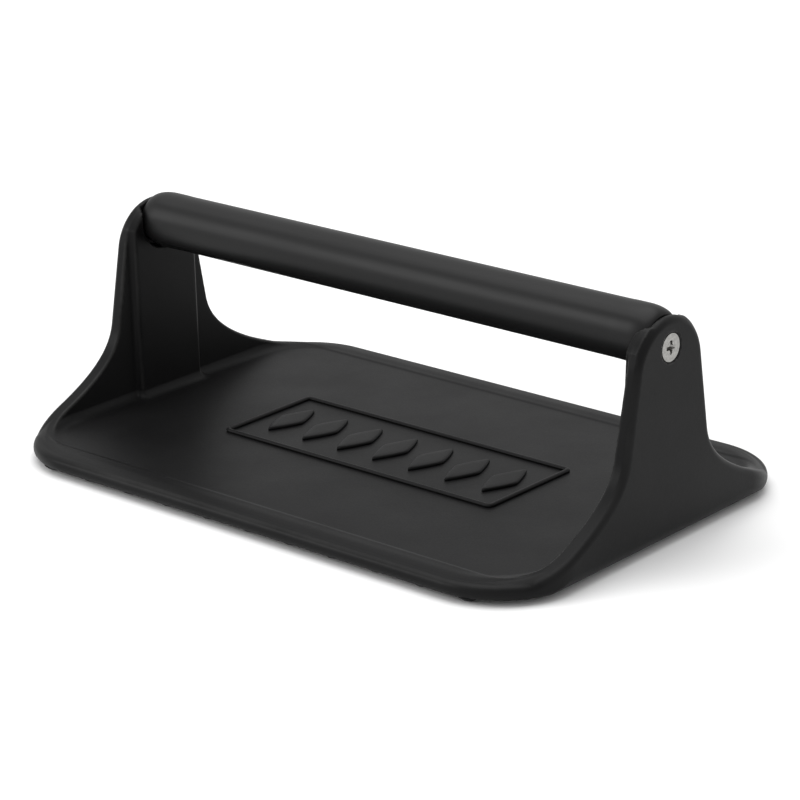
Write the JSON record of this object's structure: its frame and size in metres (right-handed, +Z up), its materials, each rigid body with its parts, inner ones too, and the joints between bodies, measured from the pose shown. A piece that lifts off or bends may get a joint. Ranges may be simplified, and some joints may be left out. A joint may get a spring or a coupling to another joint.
{
  "type": "patty press",
  "caption": "Rectangular ribbed cast-iron patty press with two upright end ears and a round tubular grip between them.",
  "frame": {"origin": "centre of the footprint, on the plane of the lands under the ribs", "axes": "+X along the grip and the plate's length, -Y towards the front long edge, +Z up from the resting surface to the grip"},
  "size_m": [0.2432, 0.1682, 0.0857],
  "materials": {
    "casting_enamel": "black satin baked coating over cast iron",
    "grip_coating": "black satin coating with a fine texture",
    "rod_steel": "bright drawn steel",
    "screw_steel": "bright plated steel"
  },
  "bodies": {
    "frame": {"casting": "casting_enamel", "tie_rod": "rod_steel", "screw_left": "screw_steel", "screw_right": "screw_steel"},
    "handle": {"grip": "grip_coating"}
  },
  "joints": [
    {"name": "grip_turn", "type": "hinge", "parent": "frame", "child": "handle", "pos_m": [0, 0, 0.0752], "axis": [1, 0, 0], "continuous": true}
  ]
}
